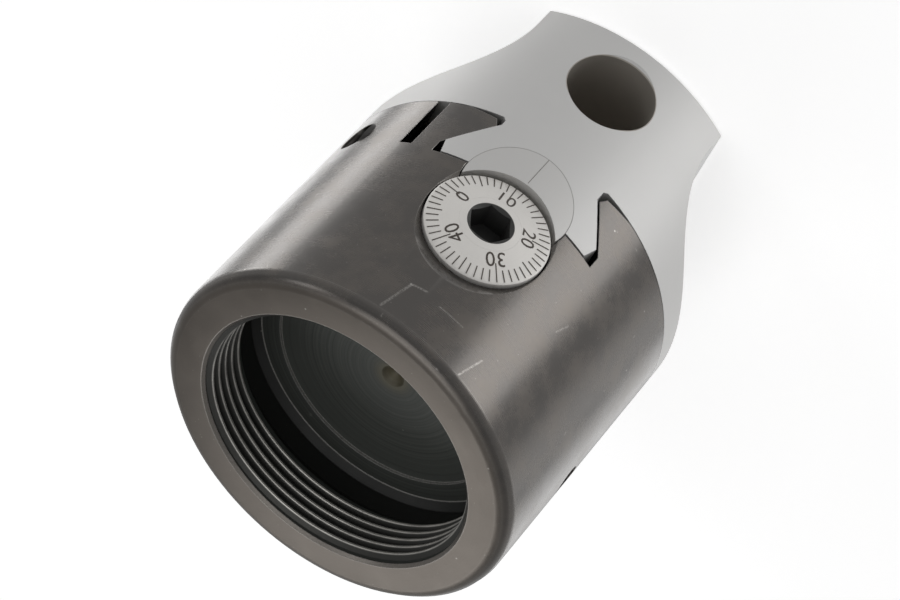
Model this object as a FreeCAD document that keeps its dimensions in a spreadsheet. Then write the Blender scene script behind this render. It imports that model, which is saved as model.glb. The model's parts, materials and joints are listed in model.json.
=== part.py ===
"""Adjustable boring head of the 50 mm class, as a FreeCAD 1.1 macro.

Millimetres, +Z up. The head stands on its nose: the origin is the centre of the nose's end
face, the threaded arbor socket opens at the top, the slide travels along Y and the feed dial
looks along -Y. The flexible gib, its screws and the bar screws are on the +X side.
"""
import FreeCAD, Part
import math
import os
import Sketcher
from types import SimpleNamespace

SIZES = [
    ("head_diameter", 50.0, "outside of the body and of the slide"),
    ("flange_height", 23.0, "slide, from its end face to the body"),
    ("body_rounding", 1.9, "round on the body's outer corner at the threaded end"),
    ("edge_break", 0.5, "small chamfer on the slide's end face"),
    ("thread_diameter", 38.1, "arbor thread, major diameter"),
    ("thread_length", 8.2, "arbor thread, from the face to the undercut"),
    ("mouth_chamfer", 0.4, "chamfer at the mouth of the arbor socket"),
    ("socket_depth", 13.6, "arbor socket, from the face to its floor"),
    ("socket_web", 0.15, "height between the socket's floor and the dial pocket"),
    ("undercut_depth", 1.35, "thread undercut, past the thread's major radius"),
    ("undercut_bevel", 1.0, "bevel between the undercut and the socket's floor"),
    ("floor_recess_diameter", 33.3, "shallow recess in the socket's floor"),
    ("floor_recess_depth", 0.4, "its depth"),
    ("floor_centre_diameter", 3.2, "centre-drill spot in the floor"),
    ("dovetail_depth", 10.0, "slot, from the body's lower face to its floor"),
    ("dovetail_angle", 55.0, "flank angle, in degrees from the slot's floor"),
    ("dovetail_width", 24.4, "slot, across its relieved corners"),
    ("slot_relief", 2.0, "height of the slot's upright corner walls"),
    ("horn_height", 2.0, "where each flank ends, above the body's lower face"),
    ("horn_bevel_width", 0.6, "bevel on each flank's end, sideways"),
    ("horn_bevel_height", 1.2, "the same bevel, upwards"),
    ("horn_slope_width", 5.2, "slope of the lower face beside the slot, from the flank's end"),
    ("gib_clearance", 0.03, "running clearance at the gib flank"),
    ("far_clearance", 0.4, "gap at the flank away from the gib, with the gib relaxed"),
    ("top_clearance", 0.3, "gap between the slide's top and the slot's floor"),
    ("slide_corner_inset", 1.0, "upper corners of the slide, inside the slot's corners"),
    ("slide_corner_lean", 0.6, "sideways lean of those upper corners"),
    ("slide_neck_inset", 0.4, "slide's neck, inside the end of the slot's flank"),
    ("slide_neck_foot", 0.5, "chamfer at the foot of the neck"),
    ("gib_thickness", 2.8, "gib at its root, from the slot's corner to the slit"),
    ("slit_width", 1.4, "gib slit"),
    ("slit_root", 0.5, "end of the slit, short of the slot's floor"),
    ("nose_width", 27.6, "slide's end face, between its flanks"),
    ("flange_rim", 3.67, "rim of the slide's flange, above its concave flanks"),
    ("flank_radius", 16.5, "concave flanks"),
    ("bar_bore", 12.0, "bores for boring bars"),
    ("bore_chamfer", 0.4, "chamfer at each bar bore's mouth"),
    ("outboard_wall", 3.5, "wall outside the outboard bore"),
    ("cross_bore_height", 9.5, "cross bore and bar screws, above the end face"),
    ("cross_bore_web", 2.0, "web between the cross bore and the centre bore"),
    ("feed_rise", 6.85, "axis of the feed screw, above the slot's floor"),
    ("feed_diameter", 8.0, "feed screw"),
    ("running_clearance", 0.05, "radial clearance of what turns in a bore"),
    ("journal_diameter", 6.0, "rear end of the feed screw"),
    ("journal_sink", 0.5, "rear end of the feed screw, inside the head's outside"),
    ("dial_diameter", 16.3, "graduated dial"),
    ("dial_gap", 0.25, "radial gap round the dial"),
    ("dial_setback", 0.87, "dial's rim, inside the head's outside"),
    ("dial_thickness", 3.1, "dial's rim"),
    ("dial_crown", 1.17, "rise of the dial's face from the rim to the key socket"),
    ("dial_bevel", 0.2, "bevel on the dial's rim"),
    ("pocket_flare_depth", 1.5, "depth of the dial pocket's countersink at the crest"),
    ("pocket_flare_angle", 61.5, "half angle of that countersink, in degrees"),
    ("dial_relief", 0.35, "clearance of the half nut round the dial's pocket"),
    ("dial_key", 5.0, "key socket in the dial, across its flats"),
    ("dial_key_depth", 4.0, "its depth"),
    ("dial_key_mouth", 6.2, "countersink at its mouth"),
    ("dial_key_mouth_depth", 0.3, "depth of that countersink"),
    ("dial_pin_diameter", 1.5, "pin that holds the dial to the screw"),
    ("dial_pin_wall", 0.41, "wall between that pin and the key socket's corner"),
    ("dial_pin_sink", 0.35, "outer end of that pin, inside the dial's rim"),
    ("front_washer_thickness", 0.4, "washer behind the dial"),
    ("front_washer_gap", 0.85, "radial gap round that washer"),
    ("washer_clearance", 0.3, "radial clearance of a washer on its shaft"),
    ("nut_past_axis", 0.55, "reach of the half nut past the feed screw's axis"),
    ("nut_end_wall", 1.2, "half nut, past its cap screw at the rear"),
    ("nut_seat_clearance", 0.02, "radial clearance of the half nut in the slide"),
    ("nut_bore_clearance", 0.15, "radial clearance of the half nut in the body"),
    ("rear_wall", 5.4, "body's wall behind the nut bore"),
    ("end_float", 0.1, "axial play of the feed screw at its rear"),
    ("dial_float", 0.03, "axial play between the dial and its washer"),
    ("bush_diameter", 9.0, "rear bush"),
    ("rear_counterbore", 11.2, "counterbore round the rear washer and ring"),
    ("rear_counterbore_depth", 2.4, "its depth"),
    ("rear_washer_gap", 0.8, "radial gap round the rear thrust washer"),
    ("rear_washer_thickness", 0.5, "rear thrust washer"),
    ("ring_diameter", 8.6, "retaining ring"),
    ("ring_thickness", 0.7, "retaining ring"),
    ("ring_opening", 3.6, "gap between the ring's ends"),
    ("ring_groove_depth", 0.5, "ring's groove in the feed screw"),
    ("nut_screw_diameter", 4.0, "cap screw through the slide into the half nut"),
    ("nut_screw_head", 7.0, "its head"),
    ("nut_screw_head_height", 3.6, "its head"),
    ("nut_screw_head_sink", 0.2, "its head, above the end of the centre bore"),
    ("nut_screw_web", 1.8, "slide between its head and the half nut"),
    ("nut_screw_reach", 5.4, "its length inside the half nut"),
    ("nut_screw_spare", 0.5, "depth of its hole past its tip"),
    ("nut_screw_key", 3.0, "its key socket, across the flats"),
    ("nut_screw_key_depth", 1.8, "its key socket, deep"),
    ("gib_screw_diameter", 5.0, "gib and lock screws"),
    ("gib_screw_rise", 6.1, "axes of the gib and lock screws, above the body's lower face"),
    ("gib_screw_spacing", 11.0, "gib screws, from the lock screw"),
    ("gib_screw_sink", 0.8, "outer ends of the gib screws, inside the head's outside"),
    ("lock_screw_sink", 0.36, "outer end of the lock screw, inside the head's outside"),
    ("gib_screw_key", 2.5, "key sockets of the gib and lock screws"),
    ("pad_thickness", 1.6, "brass pads between the screws and the gib"),
    ("pad_inset", 0.2, "radial gap round a brass pad"),
    ("face_gap", 0.02, "gap between a pad and the piece that it bears on"),
    ("bar_screw_diameter", 6.0, "bar screws"),
    ("bar_screw_sink", 0.65, "outer ends of the bar screws, inside the flank"),
    ("bar_screw_park", 0.2, "tip of a bar screw, outside its bar bore"),
    ("bar_screw_key", 3.0, "key sockets of the bar screws"),
    ("screw_bevel", 0.5, "bevel on a headless screw's tip, and on the cap screw's head"),
    ("tommy_hole_diameter", 4.4, "hole for the bar that tightens the head on its arbor"),
    ("tommy_hole_depth", 6.0, "its depth"),
    ("tommy_hole_rise", 11.6, "its axis, above the slot's floor"),
]


class Size:
    """A size kept as a number and as the sheet formula that gives the same number."""

    def __init__(self, number, formula):
        self.number = number
        self.formula = formula

    def __add__(self, other):
        return joined(self, "+", other, self.number + number_of(other))

    def __radd__(self, other):
        return joined(other, "+", self, other + self.number)

    def __sub__(self, other):
        return joined(self, "-", other, self.number - number_of(other))

    def __rsub__(self, other):
        return joined(other, "-", self, other - self.number)

    def __mul__(self, other):
        return joined(self, "*", other, self.number * number_of(other))

    def __truediv__(self, other):
        return joined(self, "/", other, self.number / number_of(other))

    def __rtruediv__(self, other):
        return joined(other, "/", self, other / self.number)

    def __neg__(self):
        return joined(0, "-", self, -self.number)


def number_of(size):
    """The number of a Size, or a plain number as it is."""
    return size.number if isinstance(size, Size) else size


def formula_of(size):
    """The sheet formula of a Size, or a plain number as text."""
    return size.formula if isinstance(size, Size) else str(size)


def joined(left, sign, right, number):
    """The Size made of two others with an arithmetic sign between them."""
    return Size(number, f"({formula_of(left)} {sign} {formula_of(right)})")


def tangent(angle):
    """The tangent of an angle that is given in degrees."""
    return Size(math.tan(math.radians(angle.number)), f"tan({angle.formula})")


def cosine(degrees):
    """The cosine of a plain number of degrees, rounded where it should be nought."""
    return round(math.cos(math.radians(degrees)), 12)


def root(size):
    """The square root of a size."""
    return Size(math.sqrt(size.number), f"sqrt({size.formula})")


def make_sheet(doc):
    """Write the driving sizes into a spreadsheet, and return them by name."""
    sheet = doc.addObject("Spreadsheet::Sheet", "Sizes")
    for row, (alias, value, note) in enumerate(SIZES, start=1):
        sheet.set(f"A{row}", alias)
        sheet.set(f"B{row}", str(value))
        sheet.set(f"C{row}", note)
        sheet.setAlias(f"B{row}", alias)
    doc.recompute()
    return SimpleNamespace(**{alias: Size(value, f"Sizes.{alias}") for alias, value, _ in SIZES})


DOC = FreeCAD.newDocument("BoringHead")
DIM = make_sheet(DOC)

RADIUS = DIM.head_diameter / 2
SLOT_FLOOR = DIM.flange_height + DIM.dovetail_depth
FLANK_RUN = 1 / tangent(DIM.dovetail_angle)
SLIT = DIM.dovetail_width / 2 + DIM.gib_thickness
FEED_HEIGHT = SLOT_FLOOR + DIM.feed_rise
FEED_RADIUS = DIM.feed_diameter / 2
JOURNAL = DIM.journal_diameter / 2
DIAL_RADIUS = DIM.dial_diameter / 2
POCKET_RADIUS = DIAL_RADIUS + DIM.dial_gap
SOCKET_FLOOR = FEED_HEIGHT + POCKET_RADIUS + DIM.socket_web
TOP = SOCKET_FLOOR + DIM.socket_depth
DIAL_FACE = DIM.dial_setback - RADIUS
DIAL_BACK = DIAL_FACE + DIM.dial_thickness
POCKET_FLOOR = DIAL_BACK + DIM.dial_float + DIM.front_washer_thickness
CROWN_SLOPE = DIM.dial_crown / (DIAL_RADIUS - DIM.dial_key_mouth / 2)
SEAT_FACE = DIAL_FACE - (DIAL_RADIUS - FEED_RADIUS) * CROWN_SLOPE
PIN_INNER = DIM.dial_key / math.sqrt(3) + DIM.dial_pin_wall
PIN_OUTER = DIAL_RADIUS - DIM.dial_pin_sink
NUT_RADIUS = DIM.feed_rise + DIM.nut_past_axis
NUT_REAR = DIM.nut_screw_diameter / 2 + DIM.nut_end_wall
NUT_LENGTH = NUT_REAR + RADIUS
NUT_BORE_END = RADIUS - DIM.rear_wall
BUSH_END = RADIUS - DIM.rear_counterbore_depth
RING_FACE = BUSH_END + DIM.rear_washer_thickness + DIM.end_float
RELIEF_RADIUS = POCKET_RADIUS + DIM.dial_relief
RELIEF_END = POCKET_FLOOR + DIM.dial_relief
NUT_SCREW_SEAT = SLOT_FLOOR - NUT_RADIUS - DIM.nut_screw_web
NUT_SCREW_LOW = NUT_SCREW_SEAT - DIM.nut_screw_head_height
BAR_BORE_DEPTH = NUT_SCREW_LOW - DIM.nut_screw_head_sink
BORE_SPACING = RADIUS - DIM.outboard_wall - DIM.bar_bore / 2
GIB_SCREW_HEIGHT = DIM.flange_height + DIM.gib_screw_rise
FLANK_CENTRE = DIM.nose_width / 2 + DIM.flank_radius
FLANK_HEIGHT = DIM.flange_height - DIM.flange_rim - root(
    DIM.flank_radius * DIM.flank_radius - (FLANK_CENTRE - RADIUS) * (FLANK_CENTRE - RADIUS))
BEYOND = 2
ROUND_STEPS = 3
SAME = 1e-3


def bind(thing, path, size):
    """Tie one property of a document object to a sheet formula."""
    thing.setExpression(path, formula_of(size))


def make_body(label):
    """A new PartDesign body, whose label names its file."""
    body = DOC.addObject("PartDesign::Body", label)
    body.Label = label
    return body


def sketch_on(body, role, shift=(0, 0, 0)):
    """A new sketch on one of the body's own origin planes, moved by shift in its own frame.

    On the XZ plane the sketch's axes are X and Z and its normal is -Y; on the YZ plane they
    are Y and Z with normal +X; on the XY plane they are X and Y with normal +Z.
    """
    sketch = body.newObject("Sketcher::SketchObject", f"{body.Label}_sketch")
    plane = next(item for item in body.Origin.OriginFeatures if item.Role == role)
    sketch.AttachmentSupport = (plane, [""])
    sketch.MapMode = "FlatFace"
    for axis, amount in zip("xyz", shift):
        bind(sketch, f"AttachmentOffset.Base.{axis}", amount)
    return sketch


def hold(sketch, kind, geometry, point, size):
    """Hold one point of a sketch at a distance from the sketch's origin."""
    rule = Sketcher.Constraint(kind, -1, 1, geometry, point, number_of(size))
    bind(sketch, f"Constraints[{sketch.addConstraint(rule)}]", size)


def draw_outline(sketch, corners):
    """Draw a closed outline of straight lines through corners, each a pair of sizes."""
    points = [FreeCAD.Vector(number_of(across), number_of(up), 0) for across, up in corners]
    first = sketch.GeometryCount
    for start, end in zip(points, points[1:] + points[:1]):
        sketch.addGeometry(Part.LineSegment(start, end))
    for index, (across, up) in enumerate(corners):
        behind = first + (index - 1) % len(corners)
        sketch.addConstraint(Sketcher.Constraint("Coincident", behind, 2, first + index, 1))
        hold(sketch, "DistanceX", first + index, 1, across)
        hold(sketch, "DistanceY", first + index, 1, up)


def draw_circle(sketch, across, up, radius):
    """Draw a circle with its centre at (across, up)."""
    centre = FreeCAD.Vector(number_of(across), number_of(up), 0)
    normal = FreeCAD.Vector(0, 0, 1)
    ring = sketch.addGeometry(Part.Circle(centre, normal, number_of(radius)))
    hold(sketch, "DistanceX", ring, 3, across)
    hold(sketch, "DistanceY", ring, 3, up)
    rule = Sketcher.Constraint("Radius", ring, number_of(radius))
    bind(sketch, f"Constraints[{sketch.addConstraint(rule)}]", radius)


def draw_hexagon(sketch, across, up, flats):
    """Draw a hexagon about (across, up), with two of its corners level with the centre."""
    corner = flats / math.sqrt(3)
    half = flats / 2
    draw_outline(sketch, [(across + corner, up), (across + corner / 2, up + half),
                          (across - corner / 2, up + half), (across - corner, up),
                          (across - corner / 2, up - half), (across + corner / 2, up - half)])


def add_feature(body, kind, sketch):
    """Add a feature made from one sketch."""
    feature = body.newObject(f"PartDesign::{kind}", f"{body.Label}_{kind.lower()}")
    feature.Profile = (sketch, [""])
    sketch.Visibility = False
    return feature


def pad(body, sketch, length, towards_normal=True):
    """Pad a sketch by a length, along its normal or against it."""
    feature = add_feature(body, "Pad", sketch)
    feature.Reversed = not towards_normal
    bind(feature, "Length", length)
    DOC.recompute()


def pocket(body, sketch, depth, towards_normal=False):
    """Cut a sketch into the body by a depth, against its normal or along it."""
    before = body.Shape.Volume
    feature = add_feature(body, "Pocket", sketch)
    feature.Reversed = towards_normal
    bind(feature, "Length", depth)
    DOC.recompute()
    require_less(body, before)


def revolve(body, sketch, axis="H_Axis"):
    """Turn a sketch once round one of its own axes."""
    feature = add_feature(body, "Revolution", sketch)
    feature.ReferenceAxis = (sketch, [axis])
    feature.Angle = 360
    DOC.recompute()


def groove(body, sketch, axis="H_Axis"):
    """Cut a sketch that is turned once round one of its own axes."""
    before = body.Shape.Volume
    feature = add_feature(body, "Groove", sketch)
    feature.ReferenceAxis = (sketch, [axis])
    feature.Angle = 360
    DOC.recompute()
    require_less(body, before)


def require_less(body, before):
    """Stop if a cut took nothing away."""
    if body.Shape.Volume > before - SAME:
        raise RuntimeError(f"a cut in {body.Label} removes nothing")


def chamfer_end_face(body, size):
    """Chamfer every edge of the face that lies at z = 0."""
    base = body.Tip
    names = [f"Edge{number}" for number, edge in enumerate(base.Shape.Edges, start=1)
             if edge.BoundBox.ZMax < SAME]
    feature = body.newObject("PartDesign::Chamfer", f"{body.Label}_chamfer")
    feature.Base = (base, names)
    bind(feature, "Size", size)
    base.Visibility = False
    DOC.recompute()


def feed_line(body):
    """A sketch whose horizontal axis is the feed screw's axis, with +Y to its right."""
    return sketch_on(body, "YZ_Plane", (0, FEED_HEIGHT, 0))


def horn_tip():
    """How far from the centre each flank of the slot ends."""
    drop = DIM.dovetail_depth - DIM.slot_relief - DIM.horn_height
    return DIM.dovetail_width / 2 - drop * FLANK_RUN


def slot_half(side):
    """The slot's corners on one side (+1 or -1), from its floor down to the lower face."""
    corner = DIM.dovetail_width / 2
    flank_top = SLOT_FLOOR - DIM.slot_relief
    tip = horn_tip()
    tip_height = DIM.flange_height + DIM.horn_height
    reach = tip + DIM.horn_slope_width
    corners = [(corner, SLOT_FLOOR), (corner, flank_top), (tip, tip_height),
               (tip + DIM.horn_bevel_width, tip_height - DIM.horn_bevel_height),
               (reach, DIM.flange_height), (reach, DIM.flange_height - BEYOND)]
    return [(across * side, up) for across, up in corners]


def rounded_corner():
    """The body's outer corner at the threaded end, as equal steps along its quarter circle."""
    turns = [90 * step / ROUND_STEPS for step in range(ROUND_STEPS + 1)]
    across = RADIUS - DIM.body_rounding
    up = TOP - DIM.body_rounding
    return [(across + DIM.body_rounding * cosine(turn), up + DIM.body_rounding * cosine(90 - turn))
            for turn in turns]


def turn_body_blank(body):
    """The turned body with its arbor socket."""
    thread = DIM.thread_diameter / 2
    mouth = thread + DIM.mouth_chamfer
    undercut = thread + DIM.undercut_depth
    bevel = DIM.undercut_bevel
    recess = DIM.floor_recess_diameter / 2
    spot = DIM.floor_centre_diameter / 2
    recess_floor = SOCKET_FLOOR - DIM.floor_recess_depth
    thread_end = TOP - DIM.thread_length
    sketch = sketch_on(body, "XZ_Plane")
    outside = [(0, DIM.flange_height), (RADIUS, DIM.flange_height)] + rounded_corner()
    socket = [(mouth, TOP), (thread, TOP - DIM.mouth_chamfer), (thread, thread_end),
              (undercut, thread_end - DIM.undercut_depth), (undercut, SOCKET_FLOOR + bevel),
              (undercut - bevel, SOCKET_FLOOR), (recess, SOCKET_FLOOR), (recess, recess_floor),
              (spot, recess_floor), (0, recess_floor - spot)]
    draw_outline(sketch, outside + socket)
    revolve(body, sketch, "V_Axis")


def cut_slot(body):
    """The dovetail slot and the slit that frees the gib, both right through along Y."""
    sketch = sketch_on(body, "XZ_Plane", (0, 0, RADIUS))
    draw_outline(sketch, slot_half(-1) + slot_half(1)[::-1])
    pocket(body, sketch, DIM.head_diameter)
    sketch = sketch_on(body, "XZ_Plane", (0, 0, RADIUS))
    outer = SLIT + DIM.slit_width
    low = DIM.flange_height - BEYOND
    high = SLOT_FLOOR - DIM.slit_root
    draw_outline(sketch, [(SLIT, low), (outer, low), (outer, high), (SLIT, high)])
    pocket(body, sketch, DIM.head_diameter)


def cut_feed_bores(body):
    """The half nut's bore, then the stepped bore of the dial, the feed screw and its bush."""
    sketch = sketch_on(body, "XZ_Plane", (0, 0, RADIUS))
    draw_circle(sketch, 0, SLOT_FLOOR, NUT_RADIUS + DIM.nut_bore_clearance)
    pocket(body, sketch, RADIUS + NUT_BORE_END)
    flare_start = DIM.pocket_flare_depth - RADIUS
    flare = POCKET_RADIUS + (DIM.pocket_flare_depth + BEYOND) * tangent(DIM.pocket_flare_angle)
    screw = FEED_RADIUS + DIM.running_clearance
    bush = DIM.bush_diameter / 2
    counterbore = DIM.rear_counterbore / 2
    outside = RADIUS + BEYOND
    sketch = feed_line(body)
    draw_outline(sketch, [(-outside, 0), (-outside, flare), (flare_start, POCKET_RADIUS),
                          (POCKET_FLOOR, POCKET_RADIUS), (POCKET_FLOOR, screw),
                          (NUT_BORE_END, screw), (NUT_BORE_END, bush), (BUSH_END, bush),
                          (BUSH_END, counterbore), (outside, counterbore), (outside, 0)])
    groove(body, sketch)


def cut_side_holes(body):
    """The gib and lock screws' holes on the +X side, and the tommy-bar hole opposite."""
    sketch = sketch_on(body, "YZ_Plane", (0, 0, RADIUS))
    hole = DIM.gib_screw_diameter / 2 + DIM.running_clearance
    for side in (-1, 0, 1):
        draw_circle(sketch, DIM.gib_screw_spacing * side, GIB_SCREW_HEIGHT, hole)
    pocket(body, sketch, RADIUS - SLIT - DIM.slit_width / 2)
    sketch = sketch_on(body, "YZ_Plane", (0, 0, -RADIUS))
    draw_circle(sketch, 0, SLOT_FLOOR + DIM.tommy_hole_rise, DIM.tommy_hole_diameter / 2)
    pocket(body, sketch, DIM.tommy_hole_depth, towards_normal=True)


def make_head_body():
    """The body: arbor socket, dovetail slot with its integral gib, and the feed's bores."""
    body = make_body("head_body")
    turn_body_blank(body)
    cut_slot(body)
    cut_feed_bores(body)
    cut_side_holes(body)


def cut_slide_dovetail(body):
    """Mill both sides of the slide's blank down to its dovetail."""
    top = SLOT_FLOOR - DIM.top_clearance
    corner = DIM.dovetail_width / 2 - DIM.slide_corner_inset
    neck = horn_tip() - DIM.slide_neck_inset
    outside = RADIUS + BEYOND
    flank_top = SLOT_FLOOR - DIM.slot_relief
    for side, clearance in ((1, DIM.gib_clearance), (-1, DIM.far_clearance)):
        lean = corner + DIM.slide_corner_lean - clearance
        flank_foot = flank_top - (DIM.dovetail_width / 2 - clearance - neck) / FLANK_RUN
        flank_head = flank_top - (DIM.dovetail_width / 2 - clearance - lean) / FLANK_RUN
        corners = [(corner - clearance, top + BEYOND), (corner - clearance, top), (lean, flank_head),
                   (neck, flank_foot), (neck, DIM.flange_height + DIM.slide_neck_foot),
                   (neck + DIM.slide_neck_foot, DIM.flange_height), (outside, DIM.flange_height),
                   (outside, top + BEYOND)]
        sketch = sketch_on(body, "XZ_Plane", (0, 0, RADIUS))
        draw_outline(sketch, [(across * side, up) for across, up in corners])
        pocket(body, sketch, DIM.head_diameter)


def cut_slide_flanks(body):
    """The two concave flanks and the straight foot below each."""
    sketch = sketch_on(body, "XZ_Plane", (0, 0, RADIUS))
    for side in (-1, 1):
        draw_circle(sketch, FLANK_CENTRE * side, FLANK_HEIGHT, DIM.flank_radius)
    pocket(body, sketch, DIM.head_diameter)
    inner = DIM.nose_width / 2
    outer = RADIUS + BEYOND
    for side in (-1, 1):
        sketch = sketch_on(body, "XZ_Plane", (0, 0, RADIUS))
        draw_outline(sketch, [(inner * side, -BEYOND), (outer * side, -BEYOND),
                              (outer * side, FLANK_HEIGHT), (inner * side, FLANK_HEIGHT)])
        pocket(body, sketch, DIM.head_diameter)
    chamfer_end_face(body, DIM.edge_break)


def cut_bar_bores(body):
    """The centre and outboard bores in the end face, and the cross bore in the front."""
    bore = DIM.bar_bore / 2
    mouth = bore + DIM.bore_chamfer
    for away in (0, -BORE_SPACING):
        sketch = sketch_on(body, "XZ_Plane", (0, 0, away))
        draw_outline(sketch, [(0, -BEYOND), (mouth, -BEYOND), (mouth, 0), (bore, DIM.bore_chamfer),
                              (bore, BAR_BORE_DEPTH), (0, BAR_BORE_DEPTH)])
        groove(body, sketch, "V_Axis")
    end = -(bore + DIM.cross_bore_web)
    sketch = sketch_on(body, "YZ_Plane", (0, DIM.cross_bore_height, 0))
    draw_outline(sketch, [(-RADIUS - BEYOND, 0), (-RADIUS - BEYOND, mouth), (-RADIUS, mouth),
                          (DIM.bore_chamfer - RADIUS, bore), (end, bore), (end, 0)])
    groove(body, sketch)


def cut_bar_screw_holes(body):
    """A row of three holes in the +X flank, each to the axis of its bar bore."""
    sketch = sketch_on(body, "YZ_Plane", (0, 0, RADIUS))
    for side in (-1, 0, 1):
        draw_circle(sketch, BORE_SPACING * side, DIM.cross_bore_height,
                    DIM.bar_screw_diameter / 2 + DIM.running_clearance)
    pocket(body, sketch, RADIUS)


def cut_nut_seat(body):
    """The half nut's seat, and the cap screw's stepped hole."""
    sketch = sketch_on(body, "XZ_Plane", (0, 0, RADIUS))
    draw_circle(sketch, 0, SLOT_FLOOR, NUT_RADIUS + DIM.nut_seat_clearance)
    pocket(body, sketch, RADIUS + NUT_REAR)
    head = DIM.nut_screw_head / 2 + DIM.running_clearance
    shank = DIM.nut_screw_diameter / 2 + DIM.running_clearance
    start = BAR_BORE_DEPTH - BEYOND
    sketch = sketch_on(body, "XZ_Plane")
    draw_outline(sketch, [(0, start), (head, start), (head, NUT_SCREW_SEAT),
                          (shank, NUT_SCREW_SEAT), (shank, SLOT_FLOOR), (0, SLOT_FLOOR)])
    groove(body, sketch, "V_Axis")


def make_bar_slide():
    """The bar holder: dovetail slide, waisted nose and three bar bores."""
    body = make_body("bar_slide")
    sketch = sketch_on(body, "XY_Plane")
    draw_circle(sketch, 0, 0, RADIUS)
    pad(body, sketch, SLOT_FLOOR - DIM.top_clearance)
    cut_slide_dovetail(body)
    cut_slide_flanks(body)
    cut_bar_bores(body)
    cut_bar_screw_holes(body)
    cut_nut_seat(body)


def trim_nut_end(body):
    """Turn the half nut's end to the head's outside, flush with the slide round it."""
    sketch = sketch_on(body, "XY_Plane", (0, 0, SLOT_FLOOR - NUT_RADIUS))
    draw_circle(sketch, 0, 0, RADIUS)
    draw_circle(sketch, 0, 0, RADIUS + BEYOND)
    pocket(body, sketch, NUT_RADIUS * 2, towards_normal=True)


def make_feed_nut():
    """The round half nut, seated in the slide, with its trough for the feed screw."""
    body = make_body("feed_nut")
    sketch = sketch_on(body, "XZ_Plane", (0, 0, RADIUS))
    draw_circle(sketch, 0, SLOT_FLOOR, NUT_RADIUS)
    pad(body, sketch, NUT_LENGTH, towards_normal=False)
    trim_nut_end(body)
    sketch = sketch_on(body, "XZ_Plane", (0, 0, RADIUS))
    draw_circle(sketch, 0, FEED_HEIGHT, FEED_RADIUS + DIM.running_clearance)
    pocket(body, sketch, NUT_LENGTH)
    sketch = sketch_on(body, "XZ_Plane", (0, 0, RADIUS))
    draw_circle(sketch, 0, FEED_HEIGHT, RELIEF_RADIUS)
    pocket(body, sketch, RADIUS + RELIEF_END)
    sketch = sketch_on(body, "XY_Plane", (0, 0, SLOT_FLOOR - NUT_RADIUS))
    draw_circle(sketch, 0, 0, DIM.nut_screw_diameter / 2)
    pocket(body, sketch, DIM.nut_screw_reach + DIM.nut_screw_spare, towards_normal=True)


def make_nut_screw():
    """The cap screw that draws the half nut into its seat, in the centre bore's end."""
    body = make_body("nut_screw")
    head = DIM.nut_screw_head / 2
    shank = DIM.nut_screw_diameter / 2
    low = NUT_SCREW_LOW
    tip = SLOT_FLOOR - NUT_RADIUS + DIM.nut_screw_reach
    bevel = DIM.screw_bevel
    sketch = sketch_on(body, "XZ_Plane")
    draw_outline(sketch, [(0, low), (head - bevel, low), (head, low + bevel), (head, NUT_SCREW_SEAT),
                          (shank, NUT_SCREW_SEAT), (shank, tip), (0, tip)])
    revolve(body, sketch, "V_Axis")
    sketch = sketch_on(body, "XY_Plane", (0, 0, low))
    draw_hexagon(sketch, 0, 0, DIM.nut_screw_key)
    pocket(body, sketch, DIM.nut_screw_key_depth, towards_normal=True)


def cut_pin_hole(body):
    """The radial hole of the dial's pin, in the dial and in the feed screw alike."""
    middle = (DIAL_FACE + DIAL_BACK) / 2
    sketch = sketch_on(body, "XY_Plane", (0, 0, FEED_HEIGHT + PIN_INNER))
    draw_circle(sketch, 0, middle, DIM.dial_pin_diameter / 2)
    pocket(body, sketch, DIAL_RADIUS, towards_normal=True)


def make_feed_screw():
    """The feed screw: key socket and dial seat in front, thread, and rear journal."""
    body = make_body("feed_screw")
    mouth = DIM.dial_key_mouth / 2
    mouth_face = DIAL_FACE - DIM.dial_crown
    mouth_end = mouth_face + DIM.dial_key_mouth_depth
    shoulder = NUT_BORE_END
    ring_root = JOURNAL - DIM.ring_groove_depth
    end = RADIUS - DIM.journal_sink
    ring_end = RING_FACE + DIM.ring_thickness + DIM.end_float
    sketch = feed_line(body)
    draw_outline(sketch, [(mouth_end, 0), (mouth_end, DIM.dial_key / 2), (mouth_face, mouth),
                          (SEAT_FACE, FEED_RADIUS), (shoulder, FEED_RADIUS), (shoulder, JOURNAL),
                          (RING_FACE, JOURNAL), (RING_FACE, ring_root), (ring_end, ring_root),
                          (ring_end, JOURNAL), (end, JOURNAL), (end, 0)])
    revolve(body, sketch)
    sketch = sketch_on(body, "XZ_Plane", (0, 0, -mouth_face))
    draw_hexagon(sketch, 0, FEED_HEIGHT, DIM.dial_key)
    pocket(body, sketch, DIM.dial_key_depth)
    cut_pin_hole(body)


def make_graduated_dial():
    """The dial: a ring with a shallow conical face, pressed on the feed screw's head."""
    body = make_body("graduated_dial")
    sketch = feed_line(body)
    draw_outline(sketch, [(SEAT_FACE, FEED_RADIUS), (DIAL_FACE, DIAL_RADIUS - DIM.dial_bevel),
                          (DIAL_FACE + DIM.dial_bevel, DIAL_RADIUS), (DIAL_BACK, DIAL_RADIUS),
                          (DIAL_BACK, FEED_RADIUS)])
    revolve(body, sketch)
    cut_pin_hole(body)


def make_dial_pin():
    """The pin that holds the dial to the feed screw."""
    body = make_body("dial_pin")
    sketch = sketch_on(body, "XY_Plane", (0, 0, FEED_HEIGHT + PIN_INNER))
    draw_circle(sketch, 0, (DIAL_FACE + DIAL_BACK) / 2, DIM.dial_pin_diameter / 2)
    pad(body, sketch, PIN_OUTER - PIN_INNER)


def make_feed_ring(label, start, end, bore, outside):
    """A plain ring on the feed screw's axis: a washer or a bush."""
    body = make_body(label)
    sketch = feed_line(body)
    draw_outline(sketch, [(start, bore), (start, outside), (end, outside), (end, bore)])
    revolve(body, sketch)
    return body


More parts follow.
